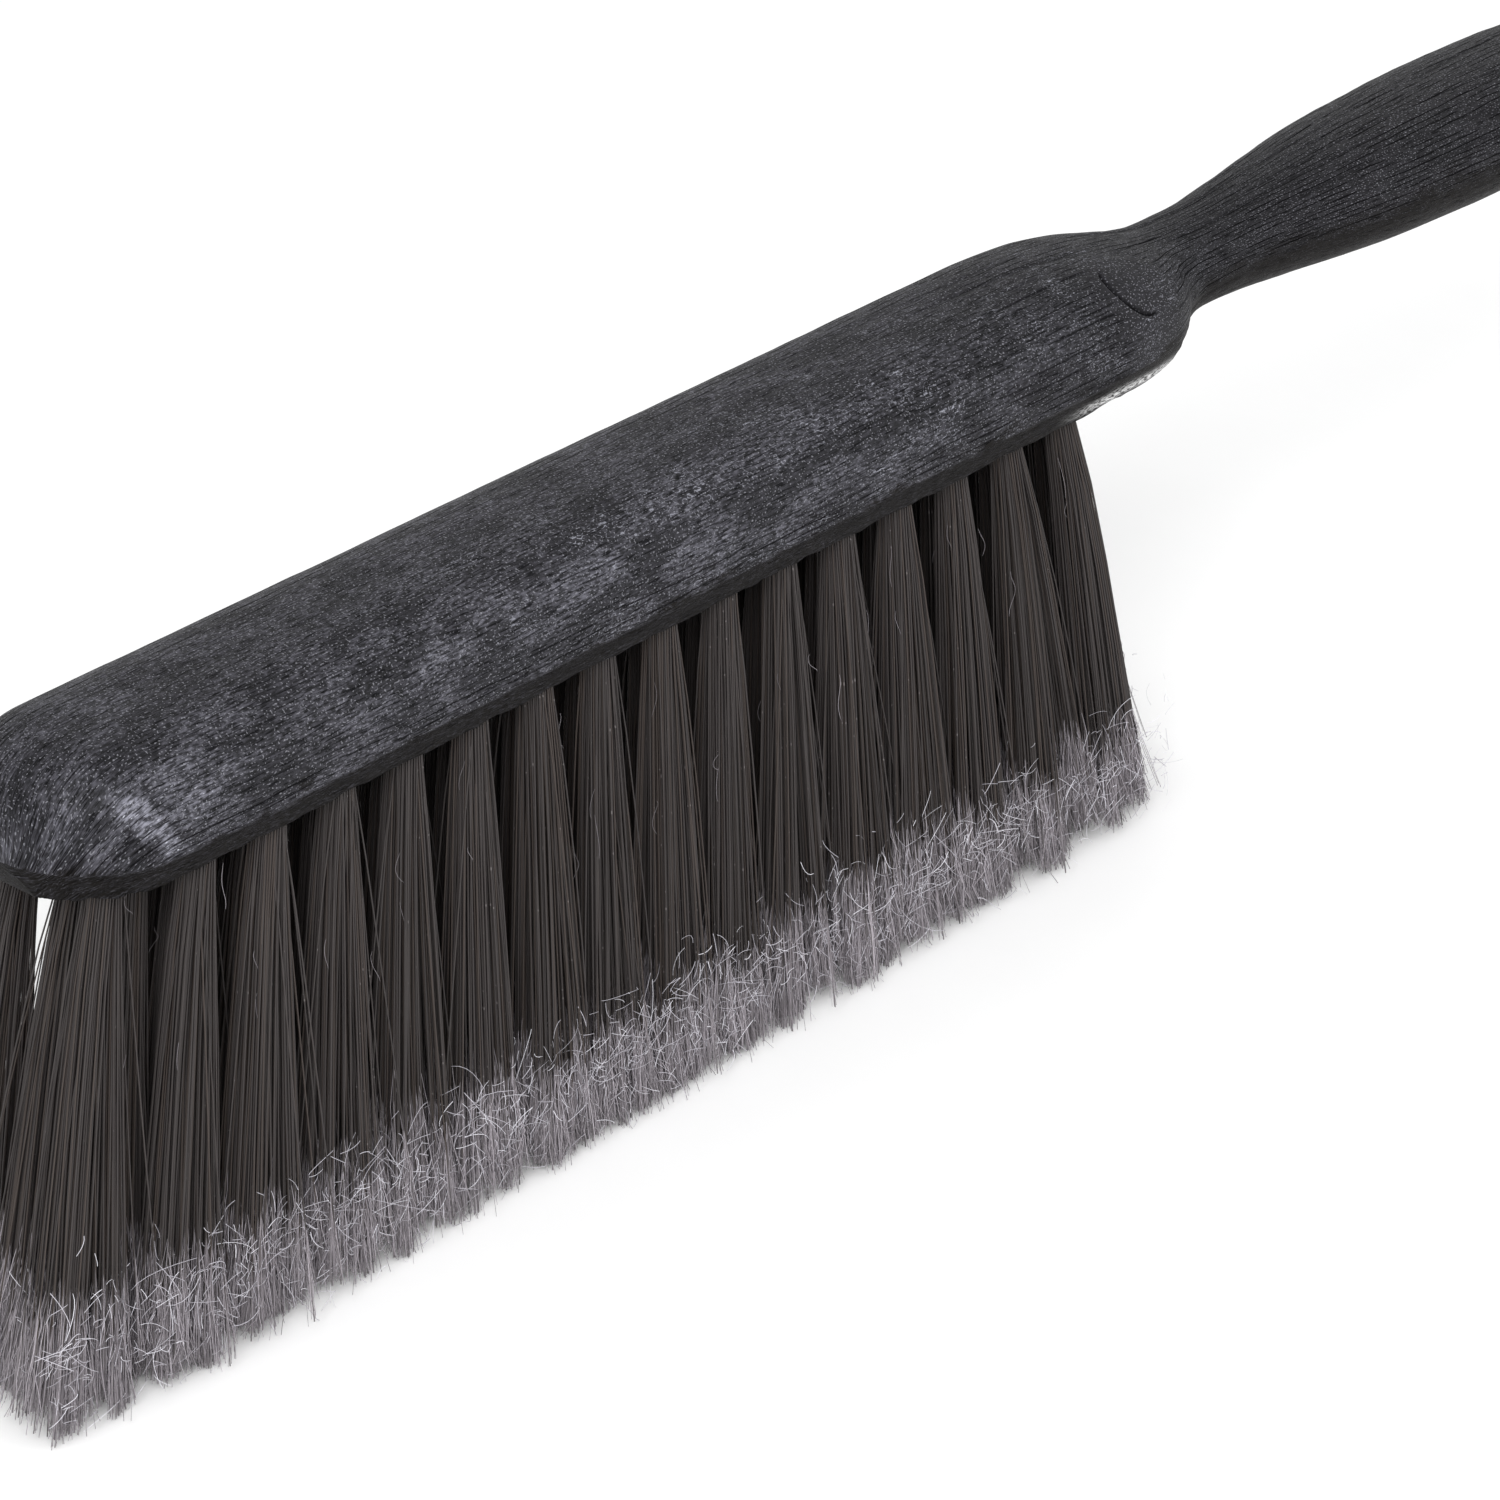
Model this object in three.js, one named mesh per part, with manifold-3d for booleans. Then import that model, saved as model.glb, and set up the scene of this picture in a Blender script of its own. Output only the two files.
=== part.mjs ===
// Bee brush of the counter-brush kind: a one-piece moulded block and handle, and 65 bristle tufts,
// each standing in a blind hole of its own.
// Millimetres, +Z up, +X from the nose to the handle. The bristle tips stand on the plane z = 0, and
// the origin is under the middle of the brush's box.
import * as THREE from 'three';
import { mergeVertices } from 'three/addons/utils/BufferGeometryUtils.js';
import Module from 'manifold-3d';

// Block and handle
const MOULDING_LENGTH = 350;
const BLOCK_WIDTH = 32;
const BLOCK_HEIGHT = 17.2;
const BLOCK_CORNER_POWER = 2.8; // superellipse power of the block's domed section
const PARTING_HEIGHT = 3.8; // parting line above the block's underside
const RIM_SET_IN = 1.4; // how far the underside's rim stands in from the parting line
const NOSE_LENGTH = 15.5;
const NOSE_PLAN_POWER = 1.9;
const HANDLE_SECTION_POWER = 2.25;
const HANDLE_END_LENGTH = 15;
const HANDLE_END_PLAN_POWER = 2;
const HANDLE_END_PROFILE_POWER = 2.4;
const SHOULDER_START = 203; // the block's section turns into the handle's between these two places
const SHOULDER_END = 232;

// Outline from the nose's end to the handle's end, as distance behind the nose, half width, and
// the heights of the top, the parting line and the bottom above the block's underside
const OUTLINE = [
  [NOSE_LENGTH, BLOCK_WIDTH / 2, BLOCK_HEIGHT, PARTING_HEIGHT, 0],
  [192, BLOCK_WIDTH / 2, BLOCK_HEIGHT, PARTING_HEIGHT, 0],
  [206, 15.8, 16.3, 4.0, 0.1],
  [213, 14.9, 15.3, 4.5, 0.4],
  [218, 12.9, 14.4, 5.0, 0.7],
  [222.5, 10.2, 13.6, 5.6, 0.9],
  [228, 9.0, 13.0, 6.1, 0.7],
  [236, 9.0, 12.8, 6.4, 0.2],
  [250, 10.4, 13.6, 6.4, -0.8],
  [263, 12.4, 14.5, 6.4, -1.7],
  [276, 14.0, 15.1, 6.4, -2.3],
  [300, 15.1, 15.5, 6.3, -2.8],
  [320, 14.8, 15.2, 6.2, -2.8],
  [MOULDING_LENGTH, 12.6, 13.9, 6.0, -1.9],
];

// Hang hole near the handle's end
const HANG_HOLE_DIAMETER = 8;
const HANG_HOLE_FROM_END = 15;

// Bristle tufts
const TRIM = 70; // bristle length below the block
const TUFT_PITCH = 12;
const ROW_SPACING = 7.6;
const FIRST_TUFT = 21.9; // distance of the first straight tuft behind the nose
const LAST_TUFT = FIRST_TUFT + 14 * TUFT_PITCH;

// Rows of tufts, each half a pitch on from its neighbours: place across in row spacings, start in
// pitches behind the first tuft, number in the straight run, the lead tuft ahead of it, and how many
// of its tufts stand alone before the rest are joined at their tips in pairs
const ROWS = [
  { row: 'near_outer', across: -1.5, start: 0, count: 15, lead: { ahead: 12, setIn: 3.7 } },
  { row: 'near_inner', across: -0.5, start: 0.5, count: 15, lead: { ahead: 4, setIn: 0 } },
  { row: 'far_inner', across: 0.5, start: 0, count: 16, alone: 4 },
  { row: 'far_outer', across: 1.5, start: 0.5, count: 15, lead: { ahead: 9, setIn: 2.2 } },
];
const JOIN = 0.8; // how far the tips of a joined pair reach past the middle between them
const NOSE_TUFT_AHEAD = 8.1; // of the first straight tuft
const NOSE_TUFT_DEPTH = 0.6; // half depth of its tip, as a share of a row's depth
const HOLE_DIAMETER = 5;
const HOLE_DEPTH = 10;
const CLEARANCE = 0.3;
const BRUSH_HALF_DEPTH = 17.5; // of the bristle field at its tips
const NOSE_LEAN = 13; // how far the tips of the end tufts lean outwards, at the nose
const NOSE_LEAN_POWER = 1.8; // how suddenly the lean grows towards the nose
const HEEL_LEAN = 15;
const HEEL_LEAN_POWER = 2.6;
const TIP_POWER = 3.2; // superellipse power of a tuft's tip

// Facets
const TUFT_SIDES = 10;
const HOLE_SIDES = 12;
const HANG_HOLE_SIDES = 24;
const TOP_STEPS = 22; // facets over the top half of a moulding section
const BOTTOM_STEPS = 12; // facets under it
const NOSE_RINGS = 9;
const NECK_RINGS = [192, 240, 3.2]; // first place, last place and step behind the nose
const HANDLE_RINGS = [244, MOULDING_LENGTH - HANDLE_END_LENGTH, 7.2];
const END_RINGS = 6;
const CUT_MARGIN = 5; // how far a cutting cylinder reaches past the face it cuts
const WELD = 1e-4; // points closer than this are one point

const blockPlastic = new THREE.MeshStandardMaterial({
  color: 0x26262a,
  roughness: 0.55,
  metalness: 0,
});
const bristlePlastic = new THREE.MeshStandardMaterial({
  color: 0x4a4442,
  roughness: 0.6,
  metalness: 0,
});

const wasm = await Module();
wasm.setup();

const clamp = THREE.MathUtils.clamp;
const lerp = THREE.MathUtils.lerp;

// Cosine or sine raised so that x^power + y^power = 1
function superArc(value, power) {
  return Math.sign(value) * Math.abs(value) ** (2 / power);
}

// Quarter superellipse that falls from 1 to 0 as share goes from 0 to 1
function roundedEnd(share, power) {
  return (1 - clamp(share, 0, 1) ** power) ** (1 / power);
}

// Smooth curve through the outline's rows that never overshoots them (monotone cubic)
function through(rows, column, x) {
  const last = rows.length - 1;
  const at = clamp(rows.findIndex((row) => row[0] > x) - 1, 0, last - 1);
  const k = x >= rows[last][0] ? last - 1 : at;
  const slope = (i) => (rows[i + 1][column] - rows[i][column]) / (rows[i + 1][0] - rows[i][0]);
  const tangent = (i) => {
    if (i === 0 || i === last) return 0;
    const before = slope(i - 1);
    const after = slope(i);
    return before * after <= 0 ? 0 : (2 * before * after) / (before + after);
  };
  const width = rows[k + 1][0] - rows[k][0];
  const t = clamp((x - rows[k][0]) / width, 0, 1);
  const rise = t * t * (3 - 2 * t);
  const leave = t * (1 - t) * (1 - t) * width;
  const arrive = t * t * (t - 1) * width;
  return (
    lerp(rows[k][column], rows[k + 1][column], rise) + leave * tangent(k) + arrive * tangent(k + 1)
  );
}

// Ring of points around the moulding at a distance behind its nose
function mouldingRing(behind) {
  const toNose = (NOSE_LENGTH - behind) / NOSE_LENGTH;
  const toEnd = (behind - MOULDING_LENGTH + HANDLE_END_LENGTH) / HANDLE_END_LENGTH;
  const isHandle = THREE.MathUtils.smoothstep(behind, SHOULDER_START, SHOULDER_END);
  const width =
    through(OUTLINE, 1, behind) * roundedEnd(toNose, NOSE_PLAN_POWER) *
    roundedEnd(toEnd, HANDLE_END_PLAN_POWER);
  const parting = through(OUTLINE, 3, behind);
  const rise =
    (through(OUTLINE, 2, behind) - parting) * roundedEnd(toNose, BLOCK_CORNER_POWER) *
    roundedEnd(toEnd, HANDLE_END_PROFILE_POWER);
  const drop =
    (parting - through(OUTLINE, 4, behind)) * clamp(behind / RIM_SET_IN, 0, 1) *
    roundedEnd(toEnd, HANDLE_END_PROFILE_POWER);
  const power = lerp(BLOCK_CORNER_POWER, HANDLE_SECTION_POWER, isHandle);
  const rim = Math.max(width - RIM_SET_IN, width / 2);
  const ring = [];
  for (let step = 0; step <= TOP_STEPS; step++) {
    const turn = (Math.PI * step) / TOP_STEPS;
    const y = width * superArc(Math.cos(turn), power);
    const z = parting + rise * superArc(Math.sin(turn), power);
    ring.push([y, z]);
  }
  for (let step = 1; step < BOTTOM_STEPS; step++) {
    const turn = (Math.PI * step) / BOTTOM_STEPS;
    const flatTurn = (Math.PI * (step - 1)) / (BOTTOM_STEPS - 2);
    const y = lerp(-rim * Math.cos(flatTurn), -width * superArc(Math.cos(turn), power), isHandle);
    const z = parting - drop * lerp(1, superArc(Math.sin(turn), power), isHandle);
    ring.push([y, z]);
  }
  return ring.map(([y, z]) => [behind, y, TRIM + z]);
}

// Closed mesh from rings of points, with a point at each end
function loft(firstPoint, rings, lastPoint) {
  const size = rings[0].length;
  const positions = [firstPoint, ...rings.flat(), lastPoint].flat();
  const end = rings.length * size + 1;
  const faces = [];
  for (let i = 0; i < size; i++) {
    const next = (i + 1) % size;
    faces.push(0, 1 + next, 1 + i);
    for (let r = 0; r < rings.length - 1; r++) {
      const a = 1 + r * size;
      const b = a + size;
      faces.push(a + i, a + next, b + next);
      faces.push(a + i, b + next, b + i);
    }
    faces.push(end, end - size + i, end - size + next);
  }
  const geometry = new THREE.BufferGeometry();
  geometry.setAttribute('position', new THREE.Float32BufferAttribute(positions, 3));
  geometry.setIndex(faces);
  return geometry;
}

// Manifold solid from a closed geometry
function solid(geometry) {
  const bare = new THREE.BufferGeometry();
  bare.setAttribute('position', geometry.getAttribute('position'));
  bare.setIndex(geometry.getIndex());
  const merged = mergeVertices(bare, WELD);
  return new wasm.Manifold(
    new wasm.Mesh({
      numProp: 3,
      vertProperties: new Float32Array(merged.attributes.position.array),
      triVerts: new Uint32Array(merged.index.array),
    }),
  );
}

// Geometry back from a manifold solid
function geometryOf(manifold) {
  const mesh = manifold.getMesh();
  const geometry = new THREE.BufferGeometry();
  geometry.setAttribute('position', new THREE.BufferAttribute(mesh.vertProperties, 3));
  geometry.setIndex(new THREE.BufferAttribute(mesh.triVerts, 1));
  geometry.computeVertexNormals();
  return geometry;
}

// Upright cylinder between two heights, to cut a hole with
function uprightCylinder(x, y, low, high, diameter, sides) {
  const geometry = new THREE.CylinderGeometry(diameter / 2, diameter / 2, high - low, sides);
  geometry.rotateX(Math.PI / 2);
  geometry.translate(x, y, (low + high) / 2);
  return solid(geometry);
}

// Places along the moulding where its rings stand: close together where the outline turns
function ringPlaces() {
  const places = [RIM_SET_IN];
  for (let i = 1; i <= NOSE_RINGS; i++) {
    const turn = (Math.PI / 2) * (i / NOSE_RINGS);
    places.push(NOSE_LENGTH * (1 - Math.cos(turn) ** (2 / NOSE_PLAN_POWER)));
  }
  for (const [first, last, step] of [NECK_RINGS, HANDLE_RINGS]) {
    for (let behind = first; behind < last; behind += step) places.push(behind);
  }
  for (let i = 0; i < END_RINGS; i++) {
    const turn = (Math.PI / 2) * (i / END_RINGS);
    places.push(MOULDING_LENGTH - HANDLE_END_LENGTH * (1 - Math.sin(turn)));
  }
  return places.sort((a, b) => a - b);
}

// Half the length of the near outer row
const ROW_REACH = (LAST_TUFT - FIRST_TUFT + ROWS[0].lead.ahead) / 2;

// Where a place along the block comes to at the tips, which lean away from the middle of the brush.
// Behind the last tuft of the near outer row the lean grows no more.
function leanOut(x) {
  const share = (x - LAST_TUFT) / ROW_REACH + 1;
  if (share < 0) return x - NOSE_LEAN * (-share) ** NOSE_LEAN_POWER;
  return x + HEEL_LEAN * Math.min(share, 1) ** HEEL_LEAN_POWER;
}

// Tufts of one row: each root, and the edges along the brush of its share of the tips
function rowTufts({ across, start, count, lead }) {
  const rowDepth = BRUSH_HALF_DEPTH / 2;
  const side = Math.sign(across);
  const places = lead ? [{ x: FIRST_TUFT - lead.ahead, setIn: lead.setIn }] : [];
  for (let i = 0; i < count; i++) {
    places.push({ x: FIRST_TUFT + TUFT_PITCH * (start + i), setIn: 0 });
  }
  const isInner = Math.abs(across) < 1;
  const ahead = isInner ? FIRST_TUFT - NOSE_TUFT_AHEAD : places[0].x - TUFT_PITCH;
  return places.map(({ x, setIn }, i) => {
    const before = places[i - 1]?.x ?? ahead;
    const after = places[i + 1]?.x ?? x + TUFT_PITCH;
    return {
      x,
      y: across * ROW_SPACING - side * setIn,
      low: leanOut((before + x) / 2),
      high: leanOut((x + after) / 2),
      tipY: across * rowDepth - (side * setIn) / 2,
      halfDepth: (rowDepth - CLEARANCE) / 2,
    };
  });
}

// Every bristle part: its name, and the tuft or the pair of tufts it is made of
function bristleParts() {
  const parts = [];
  const number = (i) => String(i + 1).padStart(2, '0');
  for (const row of ROWS) {
    const tufts = rowTufts(row);
    const singles = row.alone ?? tufts.length;
    for (let i = 0; i < singles; i++) {
      parts.push({ name: `${row.row}_tuft_${number(i)}`, tufts: [tufts[i]] });
    }
    for (let i = singles; i < tufts.length; i += 2) {
      const pair = [
        { ...tufts[i], high: tufts[i].high + JOIN },
        { ...tufts[i + 1], low: tufts[i + 1].low - JOIN },
      ];
      parts.push({ name: `${row.row}_tufts_${number(i)}_${number(i + 1)}`, tufts: pair });
    }
  }
  const x = FIRST_TUFT - NOSE_TUFT_AHEAD;
  const nextRoot = FIRST_TUFT - ROWS[1].lead.ahead;
  const noseTuft = {
    x,
    y: 0,
    low: leanOut(x - TUFT_PITCH / 2),
    high: leanOut((x + nextRoot) / 2),
    tipY: 0,
    halfDepth: (BRUSH_HALF_DEPTH / 2) * NOSE_TUFT_DEPTH,
  };
  parts.push({ name: 'nose_tuft', tufts: [noseTuft] });
  return parts;
}

function mouldingGeometry(tufts) {
  const nosePoint = [0, 0, TRIM + PARTING_HEIGHT];
  const endPoint = [MOULDING_LENGTH, 0, TRIM + OUTLINE.at(-1)[3]];
  let body = solid(loft(nosePoint, ringPlaces().map(mouldingRing), endPoint));
  const low = TRIM - CUT_MARGIN;
  for (const { x, y } of tufts) {
    const hole = uprightCylinder(x, y, low, TRIM + HOLE_DEPTH, HOLE_DIAMETER, HOLE_SIDES);
    body = body.subtract(hole);
  }
  const hangX = MOULDING_LENGTH - HANG_HOLE_FROM_END;
  const high = TRIM + BLOCK_HEIGHT + CUT_MARGIN;
  body = body.subtract(
    uprightCylinder(hangX, 0, low, high, HANG_HOLE_DIAMETER, HANG_HOLE_SIDES),
  );
  return geometryOf(body);
}

// Tuft that stands straight in its hole, then fans out to a flat tip on the plane z = 0
function tuftGeometry({ x, y, low, high, tipY, halfDepth }) {
  const tipX = (low + high) / 2;
  const halfWidth = (high - low - CLEARANCE) / 2;
  const rootRadius = HOLE_DIAMETER / 2 - CLEARANCE;
  const rootTop = TRIM + HOLE_DEPTH - CLEARANCE;
  const rings = [
    [rootTop, 0],
    [TRIM, 0],
    [TRIM / 2, 0.5],
    [0, 1],
  ].map(([z, fan]) => {
    const power = lerp(2, TIP_POWER, fan);
    const ring = [];
    for (let side = 0; side < TUFT_SIDES; side++) {
      const turn = (2 * Math.PI * (side + 0.5)) / TUFT_SIDES;
      ring.push([
        lerp(x, tipX, fan) + lerp(rootRadius, halfWidth, fan) * superArc(Math.cos(turn), power),
        lerp(y, tipY, fan) - lerp(rootRadius, halfDepth, fan) * superArc(Math.sin(turn), power),
        z,
      ]);
    }
    return ring;
  });
  return loft([x, y, rootTop], rings, [tipX, tipY, 0]);
}

const brush = new THREE.Group();
const parts = bristleParts();

const moulding = new THREE.Mesh(
  mouldingGeometry(parts.flatMap((part) => part.tufts)),
  blockPlastic,
);
moulding.name = 'block_and_handle';
brush.add(moulding);

for (const part of parts) {
  const bodies = part.tufts.map((tuft) => solid(tuftGeometry(tuft)));
  const mesh = new THREE.Mesh(
    geometryOf(bodies.reduce((whole, body) => whole.add(body))),
    bristlePlastic,
  );
  mesh.name = part.name;
  brush.add(mesh);
}

brush.position.x = -new THREE.Box3().setFromObject(brush).getCenter(new THREE.Vector3()).x;

export default brush;
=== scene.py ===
import math

import bpy
import numpy as np
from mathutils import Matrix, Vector


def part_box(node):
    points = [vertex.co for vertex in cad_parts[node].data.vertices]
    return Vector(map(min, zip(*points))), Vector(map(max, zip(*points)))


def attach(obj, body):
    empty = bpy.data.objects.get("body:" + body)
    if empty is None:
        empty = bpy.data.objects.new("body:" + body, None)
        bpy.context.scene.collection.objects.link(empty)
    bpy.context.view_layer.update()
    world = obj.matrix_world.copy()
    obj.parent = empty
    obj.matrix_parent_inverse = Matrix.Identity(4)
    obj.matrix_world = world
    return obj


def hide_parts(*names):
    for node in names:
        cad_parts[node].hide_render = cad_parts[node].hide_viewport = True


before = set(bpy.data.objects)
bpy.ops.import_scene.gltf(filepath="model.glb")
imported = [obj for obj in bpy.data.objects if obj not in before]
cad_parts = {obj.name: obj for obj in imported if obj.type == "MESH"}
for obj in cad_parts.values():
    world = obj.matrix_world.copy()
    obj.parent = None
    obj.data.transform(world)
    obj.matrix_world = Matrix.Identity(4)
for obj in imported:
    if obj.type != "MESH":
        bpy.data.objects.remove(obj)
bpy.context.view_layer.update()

# Bee brush: one black moulded block and handle with a wood grain in its surface, and 65 tufts of
# dark filament whose ends are split into pale hairs, in the frame of the CAD parts. Lengths are in
# metres or carry MM, except where a comment says that they are in millimetres.

MM = 0.001
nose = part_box("block_and_handle")[0][0]
tuft_names = sorted(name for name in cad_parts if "tuft" in name)

# ---------------------------------------------------------------- block and handle: dimensions
# All in millimetres, as distances behind the nose's end and heights above the block's underside
MOULDING_LENGTH = 350
BLOCK_CORNER_POWER = 2.8
RIM_SET_IN = 1.4
NOSE_LENGTH = 15.5
NOSE_PLAN_POWER = 1.9
HANDLE_SECTION_POWER = 2.25
HANDLE_END_LENGTH = 15
HANDLE_END_POWER = 2.4
SHOULDER = (203, 232)  # from the block's section to the handle's
BEVEL_SHARE = 1 / 12  # share of the underside's ring that each bevel takes
BEVEL_RELIEF = 0.2
FLASH_HEIGHT = 0.03  # of the thin line left along the parting line

# Distance behind the nose, half width, and the heights of the top, parting line and bottom
OUTLINE = np.array([
    [NOSE_LENGTH, 16, 17.2, 3.8, 0],
    [192, 16, 17.2, 3.8, 0],
    [206, 15.8, 16.3, 4.0, 0.1],
    [213, 14.9, 15.3, 4.5, 0.4],
    [218, 12.9, 14.4, 5.0, 0.7],
    [222.5, 10.2, 13.6, 5.6, 0.9],
    [228, 9.0, 13.0, 6.1, 0.7],
    [236, 9.0, 12.8, 6.4, 0.2],
    [250, 10.4, 13.6, 6.4, -0.8],
    [263, 12.4, 14.5, 6.4, -1.7],
    [276, 14.0, 15.1, 6.4, -2.3],
    [300, 15.1, 15.5, 6.3, -2.8],
    [320, 14.8, 15.2, 6.2, -2.8],
    [MOULDING_LENGTH, 12.6, 13.9, 6.0, -1.9],
])
HALF_WIDTH, TOP, PARTING, BOTTOM = 1, 2, 3, 4

HANG_HOLE_RADIUS = 4
HANG_HOLE_FROM_END = 15
HANG_HOLE_FLARE = 1.3
HANG_HOLE_MOUTH = 2  # height that each flared mouth takes
TUFT_HOLE_RADIUS = 2.5
TUFT_HOLE_DEPTH = 10
TUFT_HOLE_CHAMFER = 1.3

TOP_POINTS = 168  # points of a ring over the top, from one parting line to the other
BOTTOM_POINTS = 88
GRAIN_RADIUS = 14  # turns an angle around the moulding into a distance across the grain
SECTION_SAMPLES = 401  # points of a section's curve before they are spread evenly

# Rings along the moulding: how many in its two rounded ends, and the steps between the others
NOSE_RINGS = 44
END_RINGS = 18
BLOCK_STEP = 1.25
MARK_STEP = 0.34
NECK_STEP = 0.62
HANDLE_STEP = 1.5
MARK_SPAN = (200.3, 214.5)  # rings are closest together over the mould mark
NECK_SPAN = (214.9, 234)

MARK_PLACE = (207.4, -10.6, 14.2)  # round mould mark: behind the nose, across, and height
MARK_SLOPE = math.radians(28)  # of the round-over that the mark is pressed into
MARK_RADIUS = 5.2
MARK_GROOVE = (0.46, 0.30)  # depth and half width of the groove round its lower edge
MARK_DISH = 0.14


# ---------------------------------------------------------------- block and handle: shape
def through(column, behind):
    """Smooth curve through one column of the outline that never overshoots its rows."""
    places = OUTLINE[:, 0]
    values = OUTLINE[:, column]
    slopes = np.diff(values) / np.diff(places)
    before = slopes[:-1]
    after = slopes[1:]
    turning = before * after <= 0
    total = np.where(turning, 1, before + after)
    tangents = np.zeros(len(values))
    tangents[1:-1] = np.where(turning, 0, 2 * before * after / total)
    k = np.clip(np.searchsorted(places, behind, side="right") - 1, 0, len(places) - 2)
    width = places[k + 1] - places[k]
    t = np.clip((behind - places[k]) / width, 0, 1)
    rise = t * t * (3 - 2 * t)
    leave = t * (1 - t) ** 2 * width
    arrive = t * t * (t - 1) * width
    between = values[k] + (values[k + 1] - values[k]) * rise
    return between + leave * tangents[k] + arrive * tangents[k + 1]


def super_arc(value, power):
    return np.sign(value) * np.abs(value) ** (2 / power)


def rounded_end(share, power):
    return (1 - np.clip(share, 0, 1) ** power) ** (1 / power)


def smooth_step(value, low, high):
    t = np.clip((value - low) / (high - low), 0, 1)
    return t * t * (3 - 2 * t)


def lerp(a, b, t):
    return a + (b - a) * t


def bell(value, centre, width):
    """1 where the value is at the centre, falling to 0 a few widths away."""
    return np.exp(-((value - centre) / width) ** 2)


def section_sizes(behind):
    """Half width, parting height, rise above it and drop below it, at a place along the moulding."""
    to_nose = (NOSE_LENGTH - behind) / NOSE_LENGTH
    to_end = (behind - MOULDING_LENGTH + HANDLE_END_LENGTH) / HANDLE_END_LENGTH
    end = rounded_end(to_end, HANDLE_END_POWER)
    width = through(HALF_WIDTH, behind) * rounded_end(to_nose, NOSE_PLAN_POWER)
    width = width * rounded_end(to_end, 2)
    parting = through(PARTING, behind)
    rise = (through(TOP, behind) - parting) * rounded_end(to_nose, BLOCK_CORNER_POWER) * end
    drop = (parting - through(BOTTOM, behind)) * np.clip(behind / RIM_SET_IN, 0, 1) * end
    return width, parting, rise, drop


def evenly_along(points, count):
    """The given number of points, equally far apart along a line of points, without its last."""
    steps = np.linalg.norm(np.diff(points, axis=0), axis=1)
    along = np.concatenate([[0], np.cumsum(steps)])
    wanted = np.linspace(0, along[-1], count, endpoint=False)
    return np.stack([np.interp(wanted, along, points[:, axis]) for axis in (0, 1)], axis=1)


def section_ring(behind):
    """One ring of the moulding, from the far parting line over the top and back underneath."""
    width, parting, rise, drop = section_sizes(behind)
    is_handle = smooth_step(behind, *SHOULDER)
    power = lerp(BLOCK_CORNER_POWER, HANDLE_SECTION_POWER, is_handle)
    q = np.linspace(0, 1, SECTION_SAMPLES)
    turn = math.pi * q
    y = width * super_arc(np.cos(turn), power)
    z = parting + rise * super_arc(np.sin(turn), power)
    over = evenly_along(np.stack([y, z], axis=1), TOP_POINTS)

    rim = max(width - RIM_SET_IN, width / 2)
    in_bevel = np.clip(np.minimum(q, 1 - q) / BEVEL_SHARE, 0, 1)
    flat_turn = math.pi * np.clip((q - BEVEL_SHARE) / (1 - 2 * BEVEL_SHARE), 0, 1)
    side = np.where(q < 0.5, -1, 1)
    flat_y = np.where(in_bevel < 1, side * lerp(width, rim, in_bevel), -rim * np.cos(flat_turn))
    round_y = -width * super_arc(np.cos(turn), power)
    y = lerp(flat_y, round_y, is_handle)
    z = parting - drop * lerp(in_bevel, super_arc(np.sin(turn), power), is_handle)
    under = evenly_along(np.stack([y, z], axis=1), BOTTOM_POINTS)
    ring = np.concatenate([over, under])
    return np.column_stack([np.full(len(ring), behind), ring])


def ring_places():
    """Places along the moulding for its rings, closer together where the shape turns."""
    nose_turns = np.linspace(0.02, math.pi / 2, NOSE_RINGS)
    in_nose = NOSE_LENGTH * (1 - np.cos(nose_turns) ** (2 / NOSE_PLAN_POWER))
    on_block = np.arange(NOSE_LENGTH + 1.2, MARK_SPAN[0] - 0.3, BLOCK_STEP)
    on_mark = np.arange(*MARK_SPAN, MARK_STEP)
    on_neck = np.arange(*NECK_SPAN, NECK_STEP)
    on_handle = np.arange(NECK_SPAN[1] + 0.6, MOULDING_LENGTH - HANDLE_END_LENGTH, HANDLE_STEP)
    end_turns = np.linspace(0, math.pi / 2 - 0.05, END_RINGS)
    in_end = MOULDING_LENGTH - HANDLE_END_LENGTH * (1 - np.sin(end_turns))
    return np.concatenate([in_nose, on_block, on_mark, on_neck, on_handle, in_end])


NOISE_SIZE = 512  # squares before the field repeats


def soft_noise(u, v, seed):
    """Smooth random field between -1 and 1, with one random value per unit square."""
    values = np.random.default_rng(seed).uniform(-1, 1, (NOISE_SIZE, NOISE_SIZE))
    i = np.floor(u).astype(int)
    j = np.floor(v).astype(int)
    s = u - i
    t = v - j
    s = s * s * (3 - 2 * s)
    t = t * t * (3 - 2 * t)
    i0 = i % NOISE_SIZE
    j0 = j % NOISE_SIZE
    i1 = (i + 1) % NOISE_SIZE
    j1 = (j + 1) % NOISE_SIZE
    low = lerp(values[i0, j0], values[i1, j0], s)
    high = lerp(values[i0, j1], values[i1, j1], s)
    return lerp(low, high, t)


def grain_place(behind, y, height):
    """Where a point lies along and across the moulded grain, and its angle around the moulding."""
    width, parting, rise, drop = section_sizes(behind)
    up = height - parting
    tall = np.where(up >= 0, np.maximum(rise, 0.2), np.maximum(drop, 0.2))
    angle = np.arctan2(up / tall, y / np.maximum(width, 0.2))
    to_nose = np.clip((NOSE_LENGTH - behind) / NOSE_LENGTH, 0, 1)
    along = np.maximum(behind, NOSE_LENGTH) - NOSE_LENGTH * np.arcsin(to_nose)
    from_crown = np.where(angle < -math.pi / 2, angle + 1.5 * math.pi, angle - math.pi / 2)
    across = from_crown * GRAIN_RADIUS * rounded_end(to_nose, NOSE_PLAN_POWER)
    return along, across, angle


def rim_angle(angle):
    """How far around the section a place is from the nearer parting line."""
    return np.minimum(np.abs(angle), math.pi - np.abs(angle))


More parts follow.
